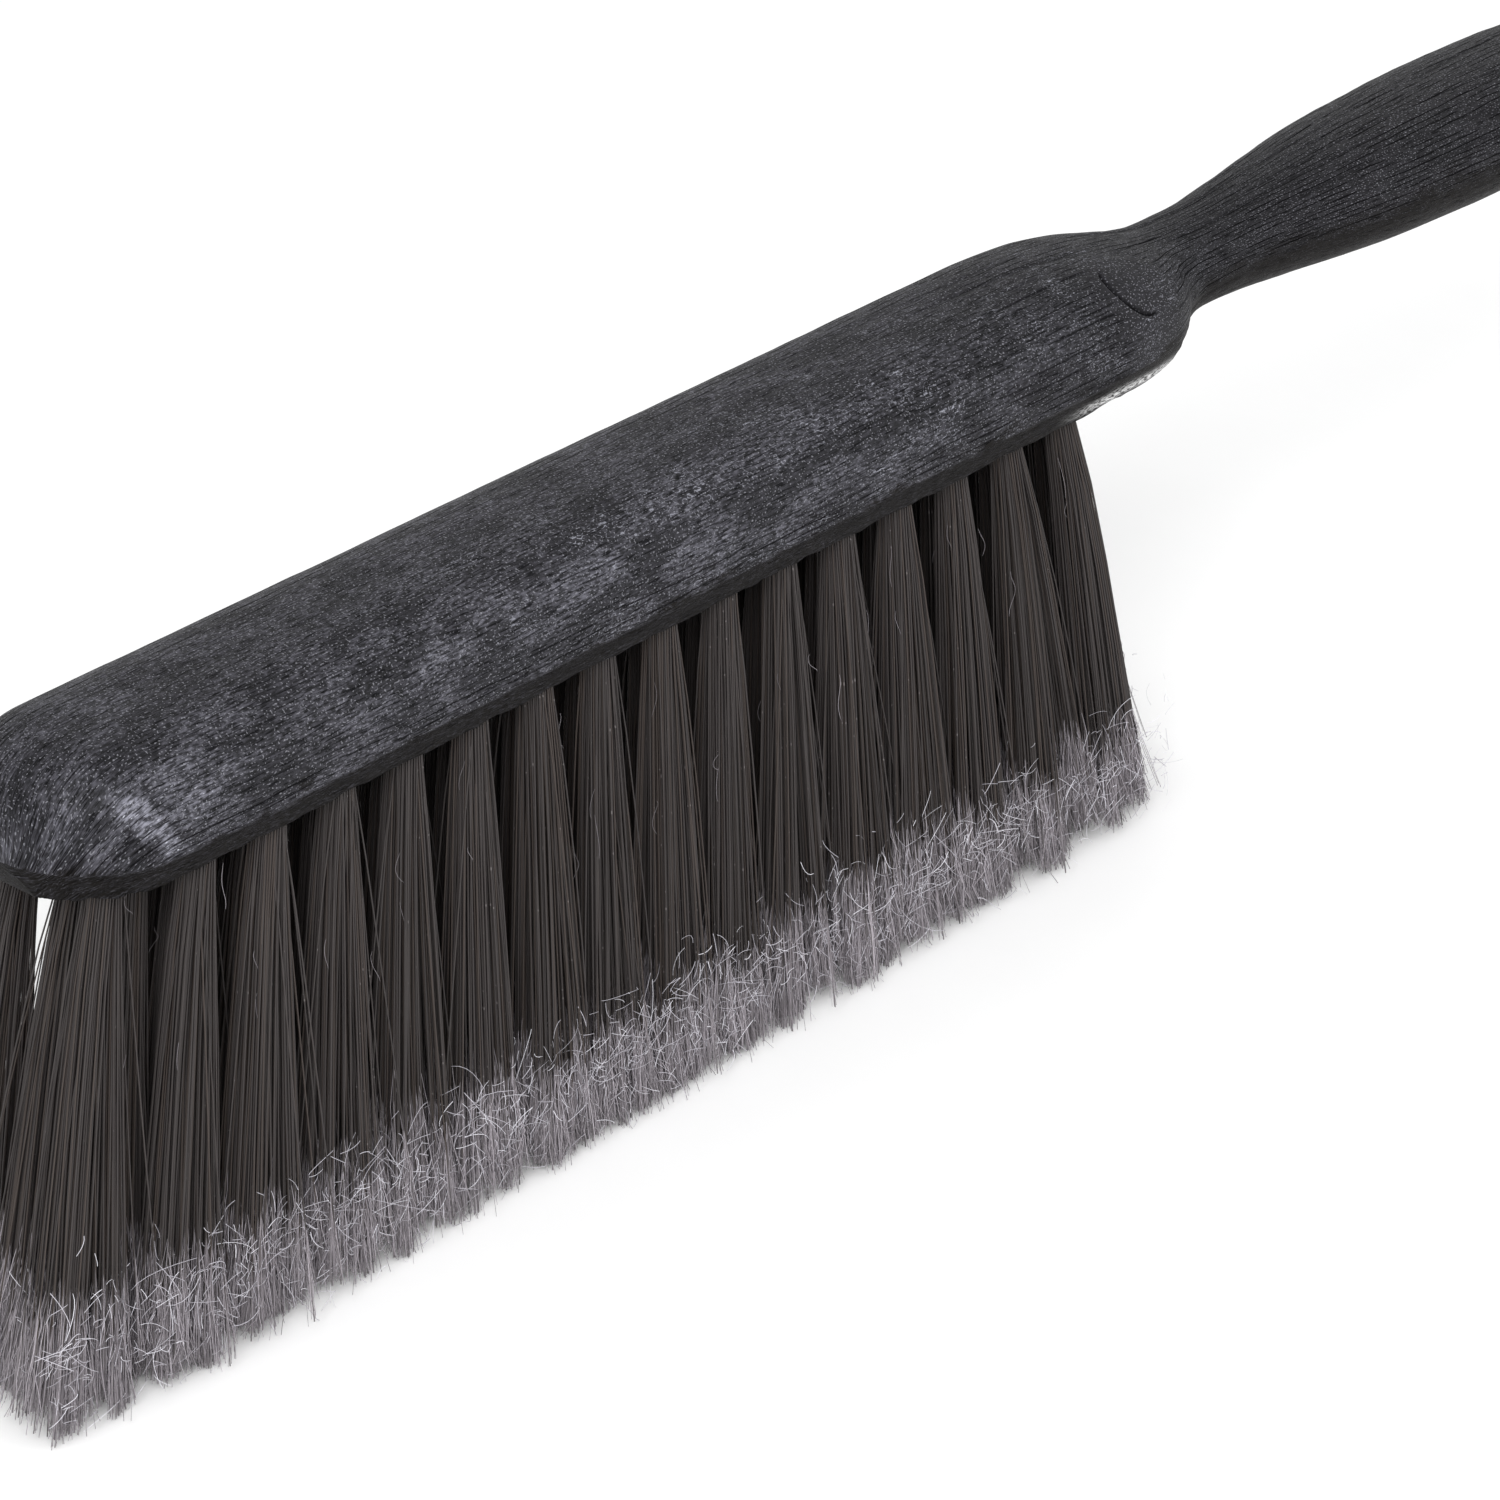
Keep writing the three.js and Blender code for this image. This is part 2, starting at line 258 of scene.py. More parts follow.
def grain_grooves(along, across):
    """Narrow wandering grooves of the moulded wood grain, from 0 beside them to 1 along them."""
    wander = across + 0.9 * soft_noise(along / 34, across / 9, 3)
    wander = wander + 0.25 * soft_noise(along / 9, across / 3, 4)
    lines = soft_noise(along / 46, wander / 1.9, 5)
    groove = np.clip(1 - np.abs(lines) / 0.2, 0, 1) ** 1.3
    broken = smooth_step(soft_noise(along / 17, wander / 2.1, 6), -0.45, 0.1)
    return groove * broken, wander


def grain_height(along, across):
    """Relief of the moulded wood grain: grooves between broad soft ribs, and a fine crinkle."""
    groove, wander = grain_grooves(along, across)
    fine = soft_noise(along / 3.6, wander / 0.75, 7)
    ribs = soft_noise(along / 60, wander / 4.2, 8)
    depth = lerp(0.07, 0.18, smooth_step(along, 90, 230))
    return -depth * groove + 0.045 * fine + 0.05 * ribs


def mark_reach(behind, y):
    """Distance from the mould mark's middle, seen from above, in mark radii."""
    return np.hypot(behind - MARK_PLACE[0], y - MARK_PLACE[1]) / MARK_RADIUS


def mark_height(behind, y, height):
    """Round mould mark: a shallow dish with a groove round its edge, deepest on the lower side."""
    ahead = (MARK_PLACE[0] - behind) / MARK_RADIUS
    slope_y = (y - MARK_PLACE[1]) * math.cos(MARK_SLOPE)
    slope_z = (height - MARK_PLACE[2]) * math.sin(MARK_SLOPE)
    below = -(slope_y + slope_z) / MARK_RADIUS
    reach = np.hypot(ahead, below)
    lower = (0.9 * ahead + 0.43 * below) / np.maximum(reach, 0.1)
    depth, half_width = MARK_GROOVE
    from_edge = (reach - 1) * MARK_RADIUS / half_width
    groove = depth * bell(from_edge, 0, 1) * smooth_step(lower, 0.05, 0.65)
    far_groove = 0.16 * depth * bell(from_edge, 0, 1)
    dish = MARK_DISH * smooth_step(1 - reach, 0, 0.08) * (0.6 + 0.4 * lower * reach)
    return -groove - far_groove - dish


def moulding_points():
    """Rings of the moulding with its grain, flash line and mould mark pressed in."""
    places = ring_places()
    rings = np.stack([section_ring(behind) for behind in places])
    along_step = np.gradient(rings, places, axis=0)
    around_step = np.roll(rings, -1, axis=1) - np.roll(rings, 1, axis=1)
    normal = np.cross(around_step, along_step)
    normal /= np.linalg.norm(normal, axis=2, keepdims=True)
    behind = rings[:, :, 0]
    along, across, angle = grain_place(behind, rings[:, :, 1], rings[:, :, 2])
    relief = grain_height(along, across)
    on_top = (np.arange(rings.shape[1]) < TOP_POINTS)[None, :]
    on_handle = smooth_step(behind, *SHOULDER)
    relief = relief * np.where(on_top, 1, lerp(0.25, 0.8, on_handle))
    nibbled = soft_noise(along / 2.2, across / 0.8, 9) + 0.8 * soft_noise(along / 5.1, across / 1.6, 10)
    from_rim = rim_angle(angle)
    bevel = smooth_step(from_rim, 0.02, 0.2) * smooth_step(1.05 - from_rim, 0, 0.2)
    relief = relief + np.where(on_top, 0, BEVEL_RELIEF * nibbled * bevel * (1 - on_handle))
    relief = relief * smooth_step(behind, 0, 3) * smooth_step(MOULDING_LENGTH - behind, 0, 3)
    flash = np.zeros(rings.shape[1])
    flash[[0, TOP_POINTS]] = FLASH_HEIGHT
    relief = relief + flash[None, :] * smooth_step(behind, 0, 2)
    relief = relief * smooth_step(mark_reach(behind, rings[:, :, 1]), 0.9, 1.8)
    mark = mark_height(behind, rings[:, :, 1], rings[:, :, 2])
    relief = relief + np.where(on_top, mark, 0)
    return rings + normal * relief[:, :, None]


def to_frame(points):
    """Millimetres behind the nose and above the underside, turned into metres in the frame."""
    return points * MM + np.array([nose, 0, underside])


def new_mesh(name, points, faces):
    mesh = bpy.data.meshes.new(name)
    mesh.from_pydata(np.asarray(points).tolist(), [], faces)
    mesh.validate()
    mesh.update()
    return mesh


def new_object(name, mesh):
    piece = bpy.data.objects.new(name, mesh)
    bpy.context.scene.collection.objects.link(piece)
    return piece


def shade_smooth(mesh):
    mesh.polygons.foreach_set("use_smooth", np.ones(len(mesh.polygons), dtype=bool))


def loft_faces(ring_count, ring_size):
    """Faces of a closed loft whose first and last points cap its rings."""
    ring = np.arange(ring_size)
    after = (ring + 1) % ring_size
    start = 1 + np.arange(ring_count - 1)[:, None] * ring_size
    a = start + ring
    b = start + after
    quads = np.stack([a, b, b + ring_size, a + ring_size], axis=-1).reshape(-1, 4)
    last = 1 + (ring_count - 1) * ring_size
    end = last + ring_size
    caps = [(0, int(1 + j), int(1 + i)) for i, j in zip(ring, after)]
    caps += [(int(end), int(last + i), int(last + j)) for i, j in zip(ring, after)]
    return quads.tolist() + caps


def lathe(x, y, profile, sides):
    """Closed upright solid of revolution from (radius, height) pairs, lowest first."""
    turns = 2 * math.pi * np.arange(sides) / sides
    rings = [
        np.column_stack([x + r * np.cos(turns), y + r * np.sin(turns), np.full(sides, z)])
        for r, z in profile
    ]
    low = [x, y, profile[0][1]]
    high = [x, y, profile[-1][1]]
    return np.vstack([low, *rings, high]), loft_faces(len(profile), sides)


def hang_hole_profile():
    """Straight hole whose two mouths flare out to meet the handle's faces softly."""
    behind = MOULDING_LENGTH - HANG_HOLE_FROM_END
    low = float(through(BOTTOM, behind))
    high = float(through(TOP, behind))
    shares = np.linspace(-1.25, 1, 10)
    flares = [(HANG_HOLE_RADIUS + HANG_HOLE_FLARE * (1 + s) ** 2 / 2, s) for s in shares if s > -1]
    down = [(r, low + 0.6 - HANG_HOLE_MOUTH * s) for r, s in reversed(flares)]
    up = [(r, high - 0.6 + HANG_HOLE_MOUTH * s) for r, s in flares]
    return down + up


def cut_out(piece, cutters):
    """Cuts closed solids, given as points and faces, out of a piece."""
    points = []
    faces = []
    offset = 0
    for some_points, some_faces in cutters:
        points.append(some_points)
        faces += [[offset + i for i in face] for face in some_faces]
        offset += len(some_points)
    cutter = new_object("cutter", new_mesh("cutter", to_frame(np.vstack(points)), faces))
    cut = piece.modifiers.new("cut", "BOOLEAN")
    cut.operation = "DIFFERENCE"
    cut.object = cutter
    cut.solver = "MANIFOLD"
    depsgraph = bpy.context.evaluated_depsgraph_get()
    mesh = bpy.data.meshes.new_from_object(piece.evaluated_get(depsgraph))
    piece.modifiers.clear()
    piece.data = mesh
    bpy.data.objects.remove(cutter)


def mesh_points(mesh):
    flat = np.empty(len(mesh.vertices) * 3)
    mesh.vertices.foreach_get("co", flat)
    return flat.reshape(-1, 3)


def add_attribute(mesh, name, vectors):
    attribute = mesh.attributes.new(name, "FLOAT_VECTOR", "POINT")
    attribute.data.foreach_set("vector", np.ascontiguousarray(vectors, dtype=np.float32).ravel())


# ---------------------------------------------------------------- tufts: shape
class Tuft:
    """Root and tip of one tuft: the root's middle, and the tip's middle and half size."""

    def __init__(self, root, tip_low, tip_high):
        self.root = (root.min(axis=0) + root.max(axis=0)) / 2
        self.tip = (tip_low + tip_high) / 2
        self.half_size = (tip_high - tip_low) / 2


def tufts_of(name):
    """The tufts of one CAD part, read from its mesh: most have one, and some have a pair."""
    points = mesh_points(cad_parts[name].data)
    near = 0.1 * MM
    roots = points[points[:, 2] > points[:, 2].max() - near]
    tips = points[points[:, 2] < points[:, 2].min() + near]
    count = 2 if "_tufts_" in name else 1
    root_edges = np.linspace(roots[:, 0].min(), roots[:, 0].max(), count + 1)
    tip_edges = np.linspace(tips[:, 0].min(), tips[:, 0].max(), count + 1)
    tufts = []
    for k in range(count):
        is_mine = (roots[:, 0] >= root_edges[k]) & (roots[:, 0] <= root_edges[k + 1])
        low = np.array([tip_edges[k], tips[:, 1].min()])
        high = np.array([tip_edges[k + 1], tips[:, 1].max()])
        tufts.append(Tuft(roots[is_mine], low, high))
    return tufts


FILAMENTS = 190  # in a tuft
FILAMENT_RADIUS = 0.14 * MM
FILAMENT_SIDES = 4
INSIDE_HOLE = 4 * MM  # how far a filament reaches up into its hole
FAN_POWER = 0.86  # below 1, a tuft widens faster near its root
PATH_SHARES = np.array([0, 0.18, 0.38, 0.58, 0.75, 0.89, 1])  # of the way from mouth to tip
TAPER = np.array([1, 1, 1, 1, 1, 0.96, 0.88, 0.8])
LOCKS = 12  # groups that a tuft's filaments draw together in
LOCK_PULL = 0.38  # how far a filament's tip moves toward its lock
LOCK_RISE = 4.2 * MM  # the most that a lock's tips stay above the others
STRAY_SHARE = 0.12  # of the filaments that leave the tuft
SCATTER = 0.55 * MM  # of the tips
STRAY_SCATTER = 3.4 * MM
HAIRS = 7  # from each filament's split end
HAIR_STEPS = 6
HAIR_SIDES = 3
HAIR_RADIUS = 0.052 * MM
HAIR_SPREAD = 0.7 * MM
WILD_SHARE = 0.22  # of the hairs that stand out from their lock
WILD_SPREAD = 2.8 * MM
LOCK_SPLIT = (0.70, 0.79)  # shares of the way to the tip where a lock's filaments start to split
BRIGHT_HAIRS = (26, 130)  # loose hairs across an inner tuft's split ends, and an outer one's
BRIGHT_STEPS = 6
BRIGHT_HEIGHT = 11.5  # of their middle above the tips, in millimetres
CAUGHT_HAIRS = 2  # curling hairs higher up beside each tuft
CAUGHT_STEPS = 10
TIP_POWER = 3.2
GOLDEN_ANGLE = math.pi * (3 - math.sqrt(5))

# Each strand takes one colour band of the texture: the V coordinate says which
BANDS = 64
FILAMENT_BANDS = (0, 36)
HAIR_BANDS = (36, 60)
BRIGHT_BANDS = (60, 64)


def tubes(paths, radii, sides, bands):
    """Points, faces and texture coordinates of tubes along paths of equally many points."""
    count, steps = paths.shape[:2]
    tangent = np.gradient(paths, axis=1)
    tangent /= np.linalg.norm(tangent, axis=2, keepdims=True)
    chord = np.abs(paths[:, -1] - paths[:, 0])
    axis = np.eye(3)[np.argmin(chord, axis=1)][:, None, :]
    across = np.cross(tangent, axis)
    across /= np.linalg.norm(across, axis=2, keepdims=True)
    beside = np.cross(tangent, across)
    turns = 2 * math.pi * np.arange(sides) / sides
    spoke = (
        across[:, :, None] * np.cos(turns)[:, None] + beside[:, :, None] * np.sin(turns)[:, None]
    )
    points = paths[:, :, None] + spoke * radii[:, :, None, None]

    first = np.arange(count)[:, None, None] * steps * sides
    ring = first + np.arange(steps - 1)[:, None] * sides
    side = np.arange(sides)
    after = (side + 1) % sides
    quads = np.stack(
        [ring + side, ring + sides + side, ring + sides + after, ring + after], axis=-1
    )
    start_caps = first[:, 0] + side
    end_caps = first[:, 0] + (steps - 1) * sides + side[::-1]

    u = np.linspace(0, 1, steps)
    v = (bands[:, None] + 0.15 + 0.7 * np.arange(sides + 1) / sides) / BANDS
    low_u = np.broadcast_to(u[:-1][None, :, None], (count, steps - 1, sides))
    high_u = np.broadcast_to(u[1:][None, :, None], (count, steps - 1, sides))
    low_v = np.broadcast_to(v[:, None, :-1], (count, steps - 1, sides))
    high_v = np.broadcast_to(v[:, None, 1:], (count, steps - 1, sides))
    corners = [(low_u, low_v), (high_u, low_v), (high_u, high_v), (low_u, high_v)]
    quad_uv = np.stack([np.stack(corner, axis=-1) for corner in corners], axis=3)
    cap_v = np.broadcast_to(v[:, :-1], (count, sides))
    start_uv = np.stack([np.full((count, sides), 0.0), cap_v], axis=-1)
    end_uv = np.stack([np.full((count, sides), 1.0), cap_v[:, ::-1]], axis=-1)
    return {
        "points": points.reshape(-1, 3),
        "quads": quads.reshape(-1, 4),
        "caps": np.concatenate([start_caps, end_caps]),
        "quad_uv": quad_uv.reshape(-1, 2),
        "cap_uv": np.concatenate([start_uv, end_uv]).reshape(-1, 2),
    }


def strand_piece(name, groups, material):
    """One object from several groups of tubes, with the texture coordinates of them all."""
    points = []
    faces = []
    coordinates = []
    offset = 0
    for group in groups:
        points.append(group["points"])
        faces += (group["quads"] + offset).tolist()
        faces += (group["caps"] + offset).tolist()
        coordinates += [group["quad_uv"], group["cap_uv"]]
        offset += len(group["points"])
    mesh = bpy.data.meshes.new(name)
    mesh.from_pydata(np.vstack(points).tolist(), [], faces)
    layer = mesh.uv_layers.new(name="OFBake")
    layer.data.foreach_set("uv", np.vstack(coordinates).astype(np.float32).ravel())
    mesh.update()
    shade_smooth(mesh)
    mesh.materials.append(material)
    return new_object(name, mesh)


def random_bands(rng, limits, count):
    return rng.integers(limits[0], limits[1], count)


def filament_paths(tuft, rng):
    """Straight filaments that fan from the hole's mouth, drawn together in loose locks."""
    number = np.arange(FILAMENTS)
    reach = np.sqrt((number + 0.5) / FILAMENTS)
    turn = number * GOLDEN_ANGLE
    at_root = np.stack([np.cos(turn), np.sin(turn)], axis=1) * reach[:, None]
    square = np.stack(
        [super_arc(np.cos(turn), TIP_POWER), super_arc(np.sin(turn), TIP_POWER)], axis=1
    )
    at_tip = square * reach[:, None]

    locks = rng.uniform(-1, 1, (LOCKS, 2))
    nearest = np.argmin(np.linalg.norm(at_tip[:, None] - locks[None], axis=2), axis=1)
    at_tip = lerp(at_tip, locks[nearest], LOCK_PULL)
    stray = rng.random(FILAMENTS) < STRAY_SHARE
    scatter = rng.normal(0, 1, (FILAMENTS, 2)) * np.array([1, 0.6])
    scatter *= np.where(stray, STRAY_SCATTER, SCATTER)[:, None]
    tip = tuft.tip + at_tip * tuft.half_size + scatter
    tip[:, 0] = np.clip(tip[:, 0], *field_ends)
    lock_rise = LOCK_RISE * rng.random(LOCKS) ** 1.6
    tip_height = lock_rise[nearest] + np.abs(rng.normal(0, 0.6, FILAMENTS)) * MM + 0.1 * MM
    tip_height += np.where(stray, rng.exponential(1.4, FILAMENTS), 0) * MM

    root = tuft.root[:2] + at_root * (TUFT_HOLE_RADIUS * MM - 2 * FILAMENT_RADIUS)
    bow = rng.normal(0, 0.3, (FILAMENTS, 2)) * MM
    share = PATH_SHARES[None, :, None]
    flat = lerp(root[:, None], tip[:, None], share ** FAN_POWER)
    flat = flat + 4 * share * (1 - share) * bow[:, None]
    height = lerp(underside, tip_height[:, None], PATH_SHARES[None])
    below = np.concatenate([flat, height[:, :, None]], axis=2)
    inside = np.column_stack([root, np.full(FILAMENTS, underside + INSIDE_HOLE)])
    return np.concatenate([inside[:, None], below], axis=1), nearest


def at_height(paths, share):
    """Points on filament paths at shares of the way from the mouth of the hole to the tip."""
    k = np.clip(np.searchsorted(PATH_SHARES, share, side="right") - 1, 0, len(PATH_SHARES) - 2)
    t = (share - PATH_SHARES[k]) / (PATH_SHARES[k + 1] - PATH_SHARES[k])
    row = np.arange(len(paths))[:, None]
    return lerp(paths[row, k + 1], paths[row, k + 2], t[:, :, None])


def hair_paths(paths, rng, lock):
    """Crinkled hairs that each filament's end has split into."""
    count = len(paths) * HAIRS
    owner = np.repeat(np.arange(len(paths)), HAIRS)
    lock_start = rng.uniform(*LOCK_SPLIT, lock.max() + 1)
    start = lock_start[lock[owner]] + rng.normal(0, 0.015, count) + rng.exponential(0.03, count)
    start = np.clip(start, 0.66, 0.95)
    t = np.linspace(0, 1, HAIR_STEPS)
    end = 1 - rng.exponential(0.009, count)
    centre = at_height(paths[owner], lerp(start[:, None], end[:, None], t))
    turn = rng.uniform(0, 2 * math.pi, count)
    away = np.stack([np.cos(turn), np.sin(turn)], axis=1)[:, None]
    wild = rng.random(count) < WILD_SHARE
    spread = np.where(wild, WILD_SPREAD, HAIR_SPREAD) * rng.uniform(0.2, 1.3, count)
    wave = rng.uniform(0.8, 2.6, (count, 1))
    phase = rng.uniform(0, 2 * math.pi, (count, 1))
    size = rng.exponential(0.40, (count, 1)) * MM
    swing = size * np.sin(2 * math.pi * wave * t + phase) * t ** 0.6
    cross = np.stack([-away[:, :, 1], away[:, :, 0]], axis=2)
    outward = away * spread[:, None, None] * t[None, :, None] ** 1.1
    centre[:, :, :2] += outward + cross * swing[:, :, None]
    centre[:, :, 2] = np.maximum(centre[:, :, 2], 0.05 * MM)
    return centre


def bright_paths(tuft, rng):
    """Loose bright hairs that stand across the upper edge of the split ends."""
    is_outer = abs(tuft.root[1]) > 5 * MM
    count = BRIGHT_HAIRS[int(is_outer)]
    t = np.linspace(-0.5, 0.5, BRIGHT_STEPS)
    place = rng.uniform(-1.05, 1.05, (count, 2))
    at_face = rng.random(count) < 0.75
    face = np.sign(tuft.root[1]) * rng.uniform(0.75, 1.2, count)
    place[:, 1] = np.where(at_face & is_outer, face, place[:, 1])
    height = np.maximum(rng.normal(BRIGHT_HEIGHT, 4.6, count), 1.5) * MM
    centre = np.column_stack([tuft.tip + place * tuft.half_size, height])
    direction = rng.normal(0, 1, (count, 3)) * np.array([1, 0.3, 1])
    direction /= np.linalg.norm(direction, axis=1, keepdims=True)
    length = (rng.gamma(1.8, 1.2, count) + 0.8) * MM
    bend = rng.normal(0, 0.20, (count, 3)) * np.array([1, 0.4, 1])
    path = centre[:, None] + direction[:, None] * (length[:, None] * t)[:, :, None]
    path += bend[:, None] * (length[:, None] * (0.25 - t * t) * 2)[:, :, None]
    path[:, :, 2] = np.maximum(path[:, :, 2], 0.1 * MM)
    return path


def caught_paths(tuft, rng):
    """Curling hairs caught between a tuft and the next, part way down from the block."""
    count = CAUGHT_HAIRS
    t = np.linspace(0, 1, CAUGHT_STEPS)
    side = rng.choice([-1, 1], count)
    start = np.column_stack([side * rng.uniform(2.2, 3.2, count), np.zeros(count)]) * MM
    start[:, 1] = np.sign(tuft.root[1]) * 1.6 * MM
    top = underside - rng.uniform(1, 26, count) * MM
    length = rng.uniform(2, 7, count) * MM
    turn = 2 * math.pi * (rng.uniform(0.3, 0.9, (count, 1)) * t + rng.random((count, 1)))
    swing = rng.uniform(0.4, 1.2, (count, 1)) * MM * np.sqrt(t)
    height = top[:, None] - length[:, None] * t
    fall = (underside - height) / underside
    flat = lerp(tuft.root[:2], tuft.tip, fall[:, :, None]) + start[:, None] * (1 + fall[:, :, None])
    path = np.concatenate([flat, height[:, :, None]], axis=2)
    path[:, :, 0] += swing * np.cos(turn)
    path[:, :, 1] += 0.5 * swing * np.sin(turn)
    return path


def tuft_groups(tuft, rng):
    """The tubes of one tuft: its filaments, the hairs they split into, and loose hairs."""
    paths, lock = filament_paths(tuft, rng)
    thickness = FILAMENT_RADIUS * rng.uniform(0.88, 1.1, (len(paths), 1))
    bands = random_bands(rng, FILAMENT_BANDS, len(paths))
    filaments = tubes(paths, thickness * TAPER, FILAMENT_SIDES, bands)
    hairs_along = hair_paths(paths, rng, lock)
    hair_radii = HAIR_RADIUS * rng.uniform(0.75, 1.25, (len(hairs_along), 1))
    hair_radii = hair_radii * np.linspace(1, 0.85, hairs_along.shape[1])
    bands = random_bands(rng, HAIR_BANDS, len(hairs_along))
    hairs = tubes(hairs_along, hair_radii, HAIR_SIDES, bands)
    bright_along = bright_paths(tuft, rng)
    bright_radii = HAIR_RADIUS * rng.uniform(0.4, 0.95, (len(bright_along), 1))
    bands = random_bands(rng, BRIGHT_BANDS, len(bright_along))
    bright = tubes(bright_along, bright_radii, HAIR_SIDES, bands)
    caught_along = caught_paths(tuft, rng)
    caught_radii = np.full((len(caught_along), 1), 0.5 * HAIR_RADIUS)
    bands = random_bands(rng, HAIR_BANDS, len(caught_along))
    caught = tubes(caught_along, caught_radii, HAIR_SIDES, bands)
    return [filaments, hairs, bright, caught]


def build_tufts(name, seed, material):
    rng = np.random.default_rng(seed)
    groups = []
    for tuft in tufts_of(name):
        groups += tuft_groups(tuft, rng)
    piece = strand_piece(name + "_strands", groups, material)
    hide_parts(name)
    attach(piece, "root")


# ---------------------------------------------------------------- materials
class Nodes:
    """Short names for building one material's node tree."""

    def __init__(self, name):
        self.material = bpy.data.materials.new(name)
        self.material.use_nodes = True
        self.tree = self.material.node_tree
        self.surface = self.tree.nodes["Principled BSDF"]

    def add(self, kind, **settings):
        node = self.tree.nodes.new(kind)
        for key, value in settings.items():
            setattr(node, key, value)
        return node

    def link(self, source, target):
        if isinstance(source, bpy.types.NodeSocket):
            self.tree.links.new(source, target)
        else:
            target.default_value = source

    def math(self, operation, first, second=0.0):
        node = self.add("ShaderNodeMath", operation=operation)
        self.link(first, node.inputs[0])
        self.link(second, node.inputs[1])
        return node.outputs[0]

    def steps(self, value, low, high, out_low=0.0, out_high=1.0):
        node = self.add("ShaderNodeMapRange", interpolation_type="SMOOTHSTEP")
        self.link(value, node.inputs["Value"])
        for key, setting in zip(("From Min", "From Max", "To Min", "To Max"),
                                (low, high, out_low, out_high)):
            node.inputs[key].default_value = setting
        return node.outputs["Result"]

    def mix(self, factor, first, second):
        node = self.add("ShaderNodeMix", data_type="RGBA")
        self.link(factor, node.inputs["Factor"])
        self.link(first, node.inputs["A"])
        self.link(second, node.inputs["B"])
        return node.outputs["Result"]

    def noise(self, vector, scale, detail=2.0, roughness=0.5):
        node = self.add("ShaderNodeTexNoise")
        self.link(vector, node.inputs["Vector"])
        node.inputs["Scale"].default_value = scale
        node.inputs["Detail"].default_value = detail
        node.inputs["Roughness"].default_value = roughness
        return node.outputs["Fac"]

    def split(self, attribute):
        """The three numbers of an attribute."""
        node = self.add("ShaderNodeSeparateXYZ")
        self.link(attribute.outputs["Vector"], node.inputs[0])
        return node.outputs

    def stretched(self, vector, sizes):
        """The vector divided by a feature's length along and width across."""
        node = self.add("ShaderNodeVectorMath", operation="DIVIDE")
        self.link(vector, node.inputs[0])
        node.inputs[1].default_value = sizes
        return node.outputs["Vector"]

    def lines(self, vector, scale, distortion):
        """Wandering lines along the first axis: 1 on each line's middle."""
        node = self.add("ShaderNodeTexWave", bands_direction="Y")
        self.link(vector, node.inputs["Vector"])
        for key, setting in (("Scale", scale), ("Distortion", distortion), ("Detail", 2.0),
                             ("Detail Scale", 1.4), ("Detail Roughness", 0.55)):
            node.inputs[key].default_value = setting
        return node.outputs["Fac"]

    def bump(self, height, strength, distance):
        node = self.add("ShaderNodeBump")
        self.link(height, node.inputs["Height"])
        node.inputs["Strength"].default_value = strength
        node.inputs["Distance"].default_value = distance
        return node.outputs["Normal"]


def rgb(red, green, blue):
    return (red, green, blue, 1.0)


